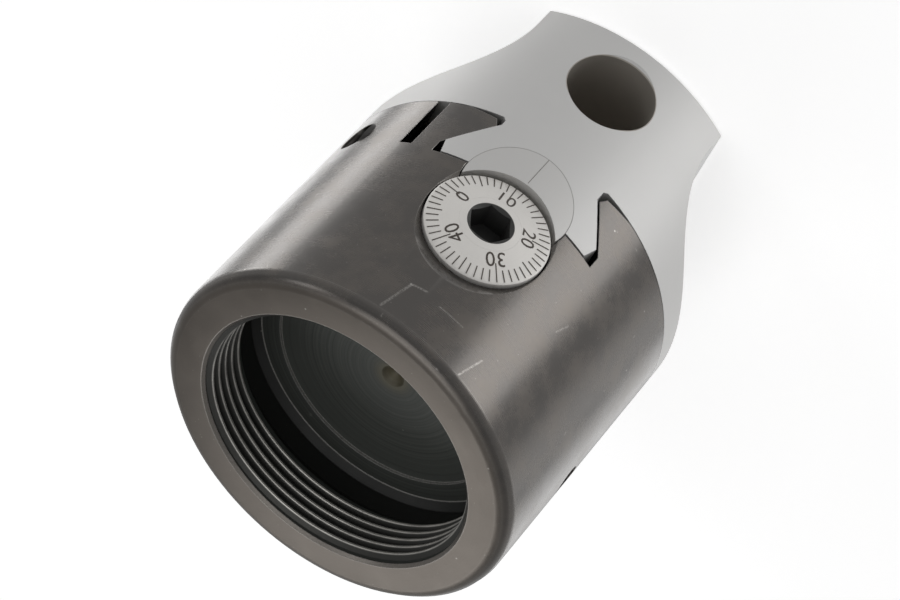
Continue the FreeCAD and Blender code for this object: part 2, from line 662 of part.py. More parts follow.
def make_feed_rings():
    """The washers, the bush and the open retaining ring that hold the feed screw endways."""
    make_feed_ring("front_thrust_washer", POCKET_FLOOR - DIM.front_washer_thickness, POCKET_FLOOR,
                   FEED_RADIUS + DIM.washer_clearance, POCKET_RADIUS - DIM.front_washer_gap)
    make_feed_ring("rear_bush", NUT_BORE_END + DIM.end_float, BUSH_END,
                   JOURNAL + DIM.running_clearance, DIM.bush_diameter / 2)
    make_feed_ring("rear_thrust_washer", BUSH_END, BUSH_END + DIM.rear_washer_thickness,
                   JOURNAL + DIM.washer_clearance, DIM.rear_counterbore / 2 - DIM.rear_washer_gap)
    ring_start = RING_FACE + DIM.end_float / 2
    ring = make_feed_ring("retaining_ring", ring_start, ring_start + DIM.ring_thickness,
                          JOURNAL - DIM.ring_groove_depth + DIM.running_clearance,
                          DIM.ring_diameter / 2)
    sketch = sketch_on(ring, "XZ_Plane", (0, 0, -RING_FACE))
    half = DIM.ring_opening / 2
    low = FEED_HEIGHT - DIM.ring_diameter
    draw_outline(sketch, [(-half, low), (half, low), (half, FEED_HEIGHT), (-half, FEED_HEIGHT)])
    pocket(ring, sketch, DIM.ring_thickness + DIM.end_float)


def make_set_screw(label, tip, end, diameter, away, height, key):
    """A headless screw along +X from x = tip to x = end, with a key socket in its outer end.

    away is the screw's place along Y and height its place along Z.
    """
    body = make_body(label)
    radius = diameter / 2
    bevel = DIM.screw_bevel
    sketch = sketch_on(body, "XZ_Plane", (0, height, -away))
    draw_outline(sketch, [(tip, 0), (tip, radius - bevel), (tip + bevel, radius),
                          (end, radius), (end, 0)])
    revolve(body, sketch)
    sketch = sketch_on(body, "YZ_Plane", (0, 0, end))
    draw_hexagon(sketch, away, height, key)
    pocket(body, sketch, diameter / 2)


def make_gib_hardware():
    """The lock screw, the two gib screws, and the brass pad in front of each."""
    pad_tip = SLIT + DIM.face_gap
    screw_tip = pad_tip + DIM.pad_thickness + DIM.face_gap
    chord = root(RADIUS * RADIUS - DIM.gib_screw_spacing * DIM.gib_screw_spacing)
    gib_end = chord - DIM.gib_screw_sink
    places = (("gib", "_front", -1, gib_end), ("lock", "", 0, RADIUS - DIM.lock_screw_sink),
              ("gib", "_rear", 1, gib_end))
    for use, place, side, end in places:
        away = DIM.gib_screw_spacing * side
        make_set_screw(f"{use}_screw{place}", screw_tip, end, DIM.gib_screw_diameter, away,
                       GIB_SCREW_HEIGHT, DIM.gib_screw_key)
        body = make_body(f"{use}_pad{place}")
        sketch = sketch_on(body, "YZ_Plane", (0, 0, pad_tip))
        draw_circle(sketch, away, GIB_SCREW_HEIGHT, DIM.gib_screw_diameter / 2 - DIM.pad_inset)
        pad(body, sketch, DIM.pad_thickness)


def make_bar_screws():
    """One clamping screw for each bar bore, parked just clear of the bar."""
    rise = DIM.cross_bore_height - FLANK_HEIGHT
    flank = FLANK_CENTRE - root(DIM.flank_radius * DIM.flank_radius - rise * rise)
    for label, side in (("cross_bar_screw", -1), ("centre_bar_screw", 0), ("outboard_bar_screw", 1)):
        make_set_screw(label, DIM.bar_bore / 2 + DIM.bar_screw_park, flank - DIM.bar_screw_sink,
                       DIM.bar_screw_diameter, BORE_SPACING * side, DIM.cross_bore_height,
                       DIM.bar_screw_key)


def export_parts():
    """Check every object and every shape, then write one STEP file for each body."""
    DOC.recompute()
    for thing in DOC.Objects:
        if "Invalid" in thing.State or "Error" in thing.State:
            raise RuntimeError(f"{thing.Label} did not build: {thing.State}")
    bodies = [thing for thing in DOC.Objects if thing.TypeId == "PartDesign::Body"]
    for body in bodies:
        if body.Shape.isNull() or not body.Shape.isValid() or len(body.Shape.Solids) != 1:
            raise RuntimeError(f"{body.Label} is not one valid solid")
    os.makedirs("parts", exist_ok=True)
    for body in bodies:
        body.Shape.exportStep(os.path.join("parts", f"{body.Label}.step"))
        print(f"{body.Label}: {body.Shape.Volume:.1f} mm3")


make_head_body()
make_bar_slide()
make_feed_nut()
make_nut_screw()
make_feed_screw()
make_graduated_dial()
make_dial_pin()
make_feed_rings()
make_gib_hardware()
make_bar_screws()
export_parts()
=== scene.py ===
"""The looks of a 50 mm boring head: its finishes, fine marks and studio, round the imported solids.

Everything is in metres in the head's own frame: +Z from the nose to the threaded arbor socket,
-Y towards the feed dial, slide travel along Y, gib screws on +X. Sizes in the classes below are
in millimetres, as a drawing gives them, unless their notes say metres.
"""

import enum
import json
import logging
import math
from dataclasses import dataclass
from typing import Any, Mapping, Sequence, Union

import bpy
import numpy as np
from mathutils import Matrix, Vector

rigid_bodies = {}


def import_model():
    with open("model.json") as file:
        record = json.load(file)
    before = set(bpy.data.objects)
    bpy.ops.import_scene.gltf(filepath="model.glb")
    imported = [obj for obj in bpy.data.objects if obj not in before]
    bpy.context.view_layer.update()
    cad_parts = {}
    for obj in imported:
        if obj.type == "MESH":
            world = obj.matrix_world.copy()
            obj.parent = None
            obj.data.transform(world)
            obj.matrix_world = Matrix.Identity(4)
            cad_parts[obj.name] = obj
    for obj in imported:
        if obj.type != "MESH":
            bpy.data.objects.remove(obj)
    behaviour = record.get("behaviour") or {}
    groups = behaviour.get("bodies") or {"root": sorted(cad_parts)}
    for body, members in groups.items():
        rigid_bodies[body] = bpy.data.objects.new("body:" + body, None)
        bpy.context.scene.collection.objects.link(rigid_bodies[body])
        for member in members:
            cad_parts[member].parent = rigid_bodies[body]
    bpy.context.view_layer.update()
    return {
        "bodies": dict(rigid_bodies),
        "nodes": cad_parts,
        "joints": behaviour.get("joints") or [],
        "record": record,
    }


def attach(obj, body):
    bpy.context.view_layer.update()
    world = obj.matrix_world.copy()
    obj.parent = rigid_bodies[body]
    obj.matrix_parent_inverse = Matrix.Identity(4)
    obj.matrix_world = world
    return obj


LOG = logging.getLogger("boring_head")
MM = 0.001
JOIN_DISTANCE = 0.0005 * MM     # nearer than this, corners of loose triangles are one
BEVEL_RAYS = 4                  # rays that find the edges to be rounded
EDGE_STRETCH = 4.0              # how strongly a rounded edge shows as bare steel and painted highlight
Colour = tuple[float, float, float]


class Body(enum.StrEnum):
    """The moving bodies that the added pieces ride on."""

    HEAD = "head"
    SLIDE = "slide"
    FEED = "feed"


class Slot(enum.StrEnum):
    """The record's material slots."""

    BLACK_OXIDE = "black_oxide"
    GROUND_STEEL = "ground_steel"
    DIAL_SATIN = "dial_satin"
    SCREW_STEEL = "screw_steel"
    BRASS = "brass"


class Value:
    """A single number carried by a node socket, on which arithmetic adds Math nodes."""

    def __init__(self, graph: "Graph", socket: bpy.types.NodeSocket) -> None:
        """Wrap a socket.

        Args:
            graph: The node tree's helper.
            socket: The output socket that carries the number.
        """
        self.graph = graph
        self.socket = socket

    def apply(self, operation: str, *others: "Number", swap: bool = False) -> "Value":
        """Add one Math node.

        Args:
            operation: The Math node's operation.
            others: The operands after this one.
            swap: Whether this value is the second operand.

        Returns:
            The node's result.
        """
        operands = [self, *others][::-1] if swap else [self, *others]
        node = self.graph.node("ShaderNodeMath", {"operation": operation}, dict(enumerate(operands)))
        return Value(self.graph, node.outputs[0])

    def __add__(self, other: "Number") -> "Value":
        """The sum of two values."""
        return self.apply("ADD", other)

    __radd__ = __add__

    def __sub__(self, other: "Number") -> "Value":
        """The difference of two values."""
        return self.apply("SUBTRACT", other)

    def __rsub__(self, other: "Number") -> "Value":
        """A number less this value."""
        return self.apply("SUBTRACT", other, swap=True)

    def __mul__(self, other: "Number") -> "Value":
        """The product of two values."""
        return self.apply("MULTIPLY", other)

    __rmul__ = __mul__

    def __neg__(self) -> "Value":
        """This value with its sign changed."""
        return self.apply("MULTIPLY", -1.0)

    def __pow__(self, power: "Number") -> "Value":
        """This value raised to a power."""
        return self.apply("POWER", power)

    def __abs__(self) -> "Value":
        """This value without its sign."""
        return self.apply("ABSOLUTE")

    def clamp(self) -> "Value":
        """This value held between 0 and 1."""
        node = self.graph.node("ShaderNodeClamp", inputs={"Value": self})
        return Value(self.graph, node.outputs[0])

    def above(self, edge: float, blur: float) -> "Value":
        """A smooth step: 0 well below an edge and 1 well above it.

        Args:
            edge: Where the step is half way.
            blur: The width over which it rises.

        Returns:
            The step's value.
        """
        limits = {"From Min": edge - blur / 2, "From Max": edge + blur / 2, "Value": self}
        node = self.graph.node("ShaderNodeMapRange", {"interpolation_type": "SMOOTHSTEP"}, limits)
        return Value(self.graph, node.outputs["Result"])

    def below(self, edge: float, blur: float) -> "Value":
        """A smooth step that falls from 1 to 0 round an edge."""
        return 1.0 - self.above(edge, blur)


Number = Union[int, float, Value]


class Graph:
    """A node tree, with one method that makes any node and short ones for the usual patterns."""

    def __init__(self, tree: bpy.types.NodeTree) -> None:
        """Start from an empty tree."""
        self.tree = tree
        self.tree.nodes.clear()

    def node(self, kind: str, settings: Mapping[str, Any] | None = None,
             inputs: Mapping[Any, Any] | None = None) -> bpy.types.Node:
        """Make one node.

        Args:
            kind: The node's type.
            settings: Its properties, set first.
            inputs: Values or links for its sockets, by name or number.

        Returns:
            The new node.
        """
        node = self.tree.nodes.new(kind)
        for name, value in (settings or {}).items():
            setattr(node, name, value)
        for name, value in (inputs or {}).items():
            self.connect(value, node.inputs[name])
        return node

    def connect(self, value: Any, socket: bpy.types.NodeSocket) -> None:
        """Link a socket or a Value to an input, or set the input's own value.

        Args:
            value: A Value, an output socket, a number or a colour.
            socket: The input.
        """
        if isinstance(value, Value):
            self.tree.links.new(value.socket, socket)
        elif isinstance(value, bpy.types.NodeSocket):
            self.tree.links.new(value, socket)
        elif socket.type == "RGBA":
            socket.default_value = (*value, 1.0)
        else:
            socket.default_value = value

    def place(self) -> tuple[Value, Value, Value]:
        """The point being shaded, in millimetres in the head's frame."""
        point = self.node("ShaderNodeTexCoord").outputs["Object"]
        split = self.node("ShaderNodeSeparateXYZ", inputs={0: point})
        return tuple(Value(self, output) * (1 / MM) for output in split.outputs)

    def vector(self, across: Number, along: Number, up: Number) -> bpy.types.NodeSocket:
        """A vector made of three numbers."""
        return self.node("ShaderNodeCombineXYZ", inputs={0: across, 1: along, 2: up}).outputs[0]

    def noise(self, point: bpy.types.NodeSocket, scale: float = 1.0, detail: float = 3.0,
              rough: float = 0.55) -> Value:
        """Fractal noise about 0.5.

        Args:
            point: Where to read it, in millimetres.
            scale: Features per millimetre.
            detail: Octaves.
            rough: How much each octave keeps.

        Returns:
            The noise's value.
        """
        node = self.node("ShaderNodeTexNoise", inputs={"Vector": point, "Scale": scale,
                                                       "Detail": detail, "Roughness": rough})
        return Value(self, node.outputs["Fac"])

    def dots(self, point: bpy.types.NodeSocket, size: float, share: float) -> Value:
        """Scattered dots: cells of unit size, some of which hold a dot.

        Args:
            point: Where to read it, one cell per unit.
            size: A dot's radius, in cells.
            share: The share of cells that hold one.

        Returns:
            1 inside a dot and 0 outside.
        """
        node = self.node("ShaderNodeTexVoronoi", inputs={"Vector": point, "Scale": 1.0})
        chosen = self.node("ShaderNodeSeparateColor", inputs={0: node.outputs["Color"]})
        near = Value(self, node.outputs["Distance"]).below(size, size)
        return near * Value(self, chosen.outputs[0]).above(1 - share, 0.02)

    def blend(self, share: Number, first: Any, second: Any) -> bpy.types.NodeSocket:
        """A colour between two colours.

        Args:
            share: 0 for the first and 1 for the second.
            first: A colour or a colour socket.
            second: The same.

        Returns:
            The mixed colour's socket.
        """
        settings = {"data_type": "RGBA"}
        node = self.node("ShaderNodeMix", settings, {0: share, 6: first, 7: second})
        return node.outputs[2]

    def relief(self, height: Value, depth: float, normal: bpy.types.NodeSocket) -> bpy.types.NodeSocket:
        """A surface normal tipped by a height.

        Args:
            height: The height map, from 0 to 1.
            depth: What a height of 1 stands for, in millimetres.
            normal: The normal that is tipped.

        Returns:
            The normal's socket.
        """
        inputs = {"Height": height, "Distance": depth * MM, "Strength": 1.0, "Normal": normal}
        return self.node("ShaderNodeBump", inputs=inputs).outputs[0]

    def rounded(self, radius: float) -> bpy.types.NodeSocket:
        """The normal as it would be with every edge rounded.

        Args:
            radius: The rounding, in millimetres.

        Returns:
            The normal's socket.
        """
        node = self.node("ShaderNodeBevel", {"samples": BEVEL_RAYS}, {"Radius": radius * MM})
        return node.outputs[0]

    def edges(self, normal: bpy.types.NodeSocket) -> Value:
        """How near an edge a point is: 0 on open surfaces and up to 1 at an edge.

        Args:
            normal: The rounded normal.

        Returns:
            One less the cosine between the rounded and the true normal, stretched.
        """
        true_normal = self.node("ShaderNodeNewGeometry").outputs["True Normal"]
        node = self.node("ShaderNodeVectorMath", {"operation": "DOT_PRODUCT"}, {0: normal, 1: true_normal})
        return (1.0 - Value(self, node.outputs["Value"])) * EDGE_STRETCH


@dataclass(frozen=True)
class Finish:
    """A surface finish; its subclasses paint it.

    Attributes:
        name: The material's name.
        colour: Base colour.
        metallic: How metallic it is.
        roughness: Mean roughness.
    """

    name: str
    colour: Colour
    metallic: float
    roughness: float

    def make(self) -> bpy.types.Material:
        """Make the material."""
        material = bpy.data.materials.new(self.name)
        material.use_nodes = True
        graph = Graph(material.node_tree)
        inputs = {"Base Color": self.colour, "Metallic": self.metallic, "Roughness": self.roughness}
        inputs.update(self.paint(graph))
        shader = graph.node("ShaderNodeBsdfPrincipled", inputs=inputs)
        graph.node("ShaderNodeOutputMaterial", inputs={0: shader.outputs[0]})
        material.diffuse_color = (*self.colour, 1.0)
        return material

    def paint(self, graph: Graph) -> dict[str, Any]:
        """The sockets that vary over the surface.

        Args:
            graph: The material's node tree.

        Returns:
            Values for the shader's sockets, by name.
        """
        x, y, z = graph.place()
        mottle = graph.noise(graph.vector(x, y, z), 1.5)
        return {"Roughness": self.roughness + (mottle - 0.5) * 0.15,
                "Base Color": graph.blend(mottle * 0.5, self.colour, [part * 0.75 for part in self.colour])}


@dataclass(frozen=True)
class Scuff:
    """A rubbed line on the body's wall.

    Attributes:
        start: Arc from -Y towards +X and height of one end, in millimetres.
        end: The same of the other end.
        width: Half the line's width.
        strength: How bare the steel is along it.
    """

    start: tuple[float, float]
    end: tuple[float, float]
    width: float
    strength: float

    def cover(self, arc: Value, height: Value) -> Value:
        """How strongly this line shows at a point of the wall.

        The share t of the way along the line is (P - A) . (B - A) / |B - A|^2, held between 0 and
        1, and the line shows where P is nearer than its width to A + t (B - A).
        """
        run, rise = self.end[0] - self.start[0], self.end[1] - self.start[1]
        length = run * run + rise * rise
        across, up = arc - self.start[0], height - self.start[1]
        share = (across * (run / length) + up * (rise / length)).clamp()
        side, over = across - share * run, up - share * rise
        distance = (side * side + over * over) ** 0.5
        return distance.below(self.width, self.width) * self.strength


@dataclass(frozen=True)
class BlackOxide(Finish):
    """Turned steel with a black oxide skin, rubbed at its edges and marked by handling; its edges carry a
    painted highlight and its slit, holes, seam and undercut painted shade.

    Attributes:
        brown: The warmer tone of the end face.
        bare: Bare steel where the skin has worn through, also painted along edges and rims as highlight.
        inside: The dull tone inside the arbor socket.
        oil: The olive stain round the socket's centre.
        dark: The unlit tone, painted as shade in the gib slit, the side screws' holes, the seam above the
            flange and the socket's undercut.
        head_radius: Outside radius of the body.
        mouth_radius: Radius of the arbor socket's mouth.
        floor_height: Height of the socket's floor.
        bevel_inner: Radius at which the undercut's bevel meets the floor.
        bevel_outer: Radius at which it starts.
        recess_radius: Radius of the floor's shallow recess.
        face_height: Height of the threaded end's face.
        lower_height: Height of the body's lower face.
        slit: Where the gib slit's two walls lie, along X.
        screw_height: Height of the gib and lock screws.
        screw_spacing: From the lock screw to each gib screw.
        screw_radius: Radius of their holes.
        screw_pitch: Pitch of their threads.
        screw_inner: Place along X where their holes end.
        slit_top: Height at which the gib slit ends.
        undercut_top: Height up to which the socket's undercut is painted dark as shade.
        scuffs: Rubbed lines between the dial and the threaded end.
    """

    brown: Colour = (0.150, 0.134, 0.118)
    bare: Colour = (0.62, 0.60, 0.57)
    inside: Colour = (0.082, 0.088, 0.080)
    oil: Colour = (0.150, 0.130, 0.080)
    dark: Colour = (0.012, 0.012, 0.011)
    head_radius: float = 25.0
    mouth_radius: float = 19.5
    floor_height: float = 48.4
    bevel_inner: float = 19.4
    bevel_outer: float = 20.4
    recess_radius: float = 16.65
    face_height: float = 62.0
    lower_height: float = 23.0
    slit: tuple[float, float] = (15.0, 16.4)
    screw_height: float = 29.1
    screw_spacing: float = 11.0
    screw_radius: float = 2.55
    screw_pitch: float = 0.8
    screw_inner: float = 10.0
    slit_top: float = 43.4
    undercut_top: float = 53.4
    scuffs: tuple[Scuff, ...] = (
        Scuff((3.2, 59.8), (2.1, 54.6), 0.17, 0.50),
        Scuff((2.2, 54.6), (0.2, 54.2), 0.15, 0.55),
        Scuff((-2.1, 54.8), (-5.8, 54.7), 0.10, 0.50),
        Scuff((-9.2, 60.0), (-10.2, 55.9), 0.12, 0.50),
        Scuff((-15.0, 43.5), (-15.8, 41.2), 0.10, 0.35),
    )

    def paint(self, graph: Graph) -> dict[str, Any]:
        """Turning marks, mottling, scuffs, nicks, worn edges with a painted highlight, and painted shade in
        the slit, holes, seam and undercut.
        """
        x, y, z = graph.place()
        point = graph.vector(x, y, z)
        radius = (x * x + y * y) ** 0.5
        lathe = graph.noise(graph.vector(radius * 7.0, 0.0, z * 7.0), 1.0, 4.0, 0.7)
        band = graph.noise(graph.vector(radius * 0.8, 3.0, z * 0.8), 1.0, 2.0)
        cloud = graph.noise(point, 0.22, 4.0, 0.6)
        grain = graph.noise(point, 5.0, 3.0, 0.6)
        face = z.above(self.face_height - 0.5, 0.5) * radius.below(self.head_radius - 0.8, 1.4)
        hidden = self.in_socket(radius, z)
        # Painted shade over the gib slit, the side screws' holes and the seam above the flange.
        gap_shade = self.painted_gap_shade(x, y, z, radius)
        skin = graph.blend(face, self.colour, self.brown)
        skin = graph.blend((cloud - 0.42) * 1.5, skin, [part * 1.25 for part in self.brown])
        skin = graph.blend(hidden, skin, self.floor_tone(graph, radius, z))
        normal = graph.rounded(0.16)
        # Bare steel along the edges: partly wear, partly a painted highlight where edges catch light.
        edge_wear_and_highlight = graph.edges(normal) * (grain * 2.2 - 0.45) * (1 - hidden)
        marks = self.handling(graph, x, y, z, grain) * (1 - hidden * 0.6)
        # Bright rims in the socket: partly rubbed steel, partly painted highlight.
        edge_rub_and_highlight = self.edge_lines(radius, z) * (grain * 1.2)
        bare = (edge_wear_and_highlight + marks + edge_rub_and_highlight).clamp() * (1 - gap_shade)
        tone = graph.blend(bare * 0.8, skin, self.bare)
        height = lathe * 0.6 + band * 0.4
        return {
            # The dark unlit tone is painted shade, laid over the slit, holes and seam.
            "Base Color": graph.blend(gap_shade, tone, self.dark),
            "Metallic": self.metallic - hidden * 0.75,
            "Roughness": self.roughness + (lathe - 0.5) * 0.16 + (cloud - 0.5) * 0.22 + face * 0.10
                         + hidden * 0.2,
            "Normal": graph.relief(height, 0.010, normal),
        }

    def in_socket(self, radius: Value, z: Value) -> Value:
        """1 inside the arbor socket and 0 outside it."""
        within = radius.below(self.bevel_outer + 0.1, 0.1) * z.above(self.floor_height - 1.6, 0.4)
        return within * z.below(self.face_height - 0.5, 0.1)

    def painted_gap_shade(self, x: Value, y: Value, z: Value, radius: Value) -> Value:
        """Painted shade: 1 in the gib slit, in the side screws' holes and at the seam above the flange."""
        slit = x.above(self.slit[0] - 0.05, 0.06) * x.below(self.slit[1] + 0.05, 0.06)
        slit = slit * radius.below(self.head_radius - 0.15, 0.1) * z.below(self.slit_top, 1.0)
        middle = self.screw_spacing / 2
        beside = abs(abs(y) - middle) - middle
        rise = z - self.screw_height
        hole = ((beside * beside + rise * rise) ** 0.5).below(self.screw_radius + 0.1, 0.1)
        # Painted shade in stripes at the screws' thread pitch, standing in for the shaded thread.
        thread = (x * (2 * math.pi / self.screw_pitch)).apply("SINE") * 0.2 + 0.75
        hole = hole * x.above(self.screw_inner, 1.0) * radius.below(self.head_radius - 0.1, 0.1) * thread
        seam = z.below(self.lower_height + 0.13, 0.08) * radius.above(self.head_radius - 0.2, 0.1)
        return (slit + hole + seam * 0.85).clamp()

    def floor_tone(self, graph: Graph, radius: Value, z: Value) -> bpy.types.NodeSocket:
        """The socket's tone: rings on its floor, a stain at its centre and painted shade in the undercut.
        """
        rings = graph.noise(graph.vector(radius * 2.6, 5.0, z), 1.0, 3.0, 0.7)
        tone = graph.blend((rings - 0.3) * 2.0, [part * 0.55 for part in self.inside],
                           [part * 1.35 for part in self.inside])
        tone = graph.blend(radius.below(2.0, 3.0) * 0.8, tone, self.oil)
        # Painted shade: the undercut below the thread is coloured nearly black.
        undercut = radius.above(self.bevel_inner + 0.06, 0.06) * z.below(self.undercut_top, 0.2)
        return graph.blend(undercut * 0.85, tone, self.dark)

    def edge_lines(self, radius: Value, z: Value) -> Value:
        """Thin bright lines on the floor's two edges and the mouth's chamfer: partly rubbed steel, partly
        painted highlight.
        """
        low = z.below(self.floor_height + 0.3, 0.2) * z.above(self.floor_height - 0.6, 0.1)
        bevel = abs(radius - self.bevel_inner).below(0.08, 0.08)
        recess = abs(radius - self.recess_radius).below(0.07, 0.08)
        mouth = radius.below(self.mouth_radius + 0.05, 0.1) * z.above(self.face_height - 0.45, 0.1)
        return (bevel + recess) * low * 0.75 + mouth * 0.30

    def handling(self, graph: Graph, x: Value, y: Value, z: Value, grain: Value) -> Value:
        """Nicks, specks, fine scratches and the rubbed lines beside the dial."""
        nicks = graph.dots(graph.vector(x * 0.45, y * 0.45, z * 0.45), 0.05, 0.30) * 0.6
        specks = graph.dots(graph.vector(x * 1.6 + 7.0, y * 1.6, z * 1.6), 0.09, 0.12) * 0.35
        steep = graph.dots(graph.vector(x * 0.36 + z * 0.08, y * 0.36, z * 0.10), 0.040, 0.5)
        level = graph.dots(graph.vector(x * 0.12 + z * 0.06, y * 0.12, z * 0.60), 0.035, 0.5)
        arc = x.apply("ARCTAN2", -y) * self.head_radius
        rubbed = self.scuffs[0].cover(arc, z)
        for scuff in self.scuffs[1:]:
            rubbed = rubbed + scuff.cover(arc, z)
        broken = grain.above(0.48, 0.2)
        return nicks + specks + (steep + level) * broken * 0.4 + rubbed * (broken * 0.6 + 0.1)


@dataclass(frozen=True)
class GroundSteel(Finish):
    """Fine turned and ground steel with an even satin sheen.

    Attributes:
        bore_shade_colour: Painted shade colour for the walls of the bar bores, also laid faintly on the
            half nut's end.
        bore_radius: Radius of a bar bore.
        bore_spacing: From the centre bore to the outboard bore.
        bore_height: Height of the cross bore's axis.
        bore_depth: Depth of the bores in the end face.
        nut_height: Height of the half nut's axis.
        nut_radius: Radius of the half nut, whose end is flush with the slide.
        nut_back: Place along Y behind which the half nut's outline doesn't show.
        seam_colour: The dark line round the half nut.
        mouth_face: Place along Y of the cross bore's mouth.
        mouth_share: How much of the bore's painted shade shows in front of its mouth, of its full strength.
    """

    bore_shade_colour: Colour = (0.46, 0.43, 0.39)
    bore_radius: float = 6.0
    bore_spacing: float = 15.5
    bore_height: float = 9.5
    bore_depth: float = 20.1
    nut_height: float = 33.0
    nut_radius: float = 7.4
    nut_back: float = -15.0
    seam_colour: Colour = (0.20, 0.19, 0.17)
    mouth_face: float = -24.9
    mouth_share: float = 0.8

    def painted_bore_shade(self, x: Value, y: Value, z: Value) -> Value:
        """Painted shade: 1 on the walls of the three bar bores and 0 elsewhere."""
        wall = self.bore_radius + 0.12
        rise = z - self.bore_height
        cross = ((x * x + rise * rise) ** 0.5).below(wall, 0.1) * y.below(0.0, 0.1)
        centre = ((x * x + y * y) ** 0.5).below(wall, 0.1)
        away = y - self.bore_spacing
        outboard = ((x * x + away * away) ** 0.5).below(wall, 0.1)
        upright = (centre + outboard) * z.below(self.bore_depth, 0.1) * z.above(0.3, 0.1)
        # Painted shade: the cross bore is a little lighter at its mouth than further in.
        depth = y.above(self.mouth_face, 0.3) * (1 - self.mouth_share) + self.mouth_share
        return (cross * depth + upright).clamp()

    def paint(self, graph: Graph) -> dict[str, Any]:
        """Fine lines round the axis, faint clouds, a few specks, and painted shade in the bores and on the
        half nut's end.
        """
        x, y, z = graph.place()
        point = graph.vector(x, y, z)
        radius = (x * x + y * y) ** 0.5
        lathe = graph.noise(graph.vector(radius * 9.0, 0.0, z * 9.0), 1.0, 4.0, 0.75)
        cloud = graph.noise(point, 0.12, 3.0)
        # Painted shade on the bar bores' walls.
        bores = self.painted_bore_shade(x, y, z)
        specks = graph.dots(graph.vector(x * 0.6, y * 0.6, z * 0.6), 0.05, 0.12)
        normal = graph.rounded(0.10)
        shade = (lathe - 0.5) * 0.25 + (cloud - 0.5) * 0.5 + 0.5
        bright = [min(1.0, part * 1.10) for part in self.colour]
        dull = [part * 0.90 for part in self.colour]
        tone = graph.blend(shade, dull, bright)
        tone = graph.blend(specks * 0.6, tone, bright)
        rise = z - self.nut_height
        reach = (x * x + rise * rise) ** 0.5
        front = y.below(self.nut_back, 0.5)
        # Painted shade: the half nut's end is made a little darker.
        tone = graph.blend(reach.below(self.nut_radius, 0.05) * front * 0.10, tone, self.bore_shade_colour)
        tone = graph.blend(abs(reach - self.nut_radius).below(0.06, 0.05) * front * 0.35, tone,
                           self.seam_colour)
        # Painted shade: the bore walls take the darker painted shade colour.
        tone = graph.blend(bores, tone, self.bore_shade_colour)
        return {
            "Base Color": tone,
            "Roughness": self.roughness + (lathe - 0.5) * 0.12 + (cloud - 0.5) * 0.1 + bores * 0.05,
            "Normal": graph.relief(lathe, 0.004, normal),
        }


@dataclass(frozen=True)
class DialSatin(Finish):
    """Satin chrome turned on its face, with painted shade inside the key socket.

    Attributes:
        axis_height: Height of the feed screw's axis.
        socket_radius: Radius inside which the key socket lies.
        socket_shade_colour: Painted shade colour of the socket's walls.
    """

    axis_height: float = 39.85
    socket_radius: float = 3.05
    socket_shade_colour: Colour = (0.05, 0.05, 0.048)

    def paint(self, graph: Graph) -> dict[str, Any]:
        """Fine rings about the feed screw's axis, and painted shade in the key socket."""
        x, y, z = graph.place()
        rise = z - self.axis_height
        radius = (x * x + rise * rise) ** 0.5
        rings = graph.noise(graph.vector(radius * 8.0, 0.0, y * 2.0), 1.0, 4.0, 0.7)
        cloud = graph.noise(graph.vector(x, y, z), 0.5, 3.0)
        # Painted shade: the key socket's walls are coloured nearly black.
        socket = radius.below(self.socket_radius, 0.08)
        normal = graph.rounded(0.08)
        tone = graph.blend(rings * 0.5 + cloud * 0.3, self.colour, [part * 0.86 for part in self.colour])
        return {
            "Base Color": graph.blend(socket, tone, self.socket_shade_colour),
            "Roughness": self.roughness + (rings - 0.5) * 0.2,
            "Normal": graph.relief(rings, 0.003, normal),
        }


@dataclass(frozen=True)
class WornHighlitThread(Finish):
    """The arbor thread: black oxide on its flanks, rubbed bright along its crests, with a painted highlight
    stronger towards +Y.

    Attributes:
        crest_radius: Radius of the thread's crests.
        bare: Colour of the rubbed crest, which also carries its painted highlight.
    """

    crest_radius: float = 18.3
    bare: Colour = (0.66, 0.64, 0.60)

    def paint(self, graph: Graph) -> dict[str, Any]:
        """Bright where the radius is near the crest, broken up by noise, and brighter towards +Y as painted
        highlight.
        """
        x, y, z = graph.place()
        radius = (x * x + y * y) ** 0.5
        patches = graph.noise(graph.vector(x, y, z), 0.35, 3.0)
        fine = graph.noise(graph.vector(x, y, z), 6.0, 2.0)
        # Crest wear plus painted highlight: the crests grow brighter towards +Y.
        crest_wear_and_highlight = radius.below(self.crest_radius + 0.12, 0.16) * (patches + fine * 0.5 + y * 0.022 - 0.25)
        return {
            "Base Color": graph.blend(crest_wear_and_highlight.clamp(), self.colour, self.bare),
            "Roughness": self.roughness + (fine - 0.5) * 0.2,
        }


BLACK_OXIDE = BlackOxide("black_oxide_skin", (0.118, 0.111, 0.105), 1.0, 0.27)
GROUND_STEEL = GroundSteel("ground_steel_satin", (0.69, 0.685, 0.675), 0.85, 0.60)
DIAL_SATIN = DialSatin("dial_satin_chrome", (0.95, 0.925, 0.885), 0.30, 0.5)
SCREW_STEEL = Finish("screw_black_oxide", (0.085, 0.082, 0.08), 1.0, 0.38)
BRASS = Finish("turned_brass", (0.72, 0.53, 0.25), 1.0, 0.35)
WORN_HIGHLIT_THREAD = WornHighlitThread("worn_highlit_thread", (0.050, 0.050, 0.046), 0.6, 0.40)
DIAL_INK = Finish("dial_ink", (0.085, 0.070, 0.058), 0.0, 0.6)
NUT_SCRIBE = Finish("scribed_line", (0.26, 0.25, 0.23), 0.3, 0.5)


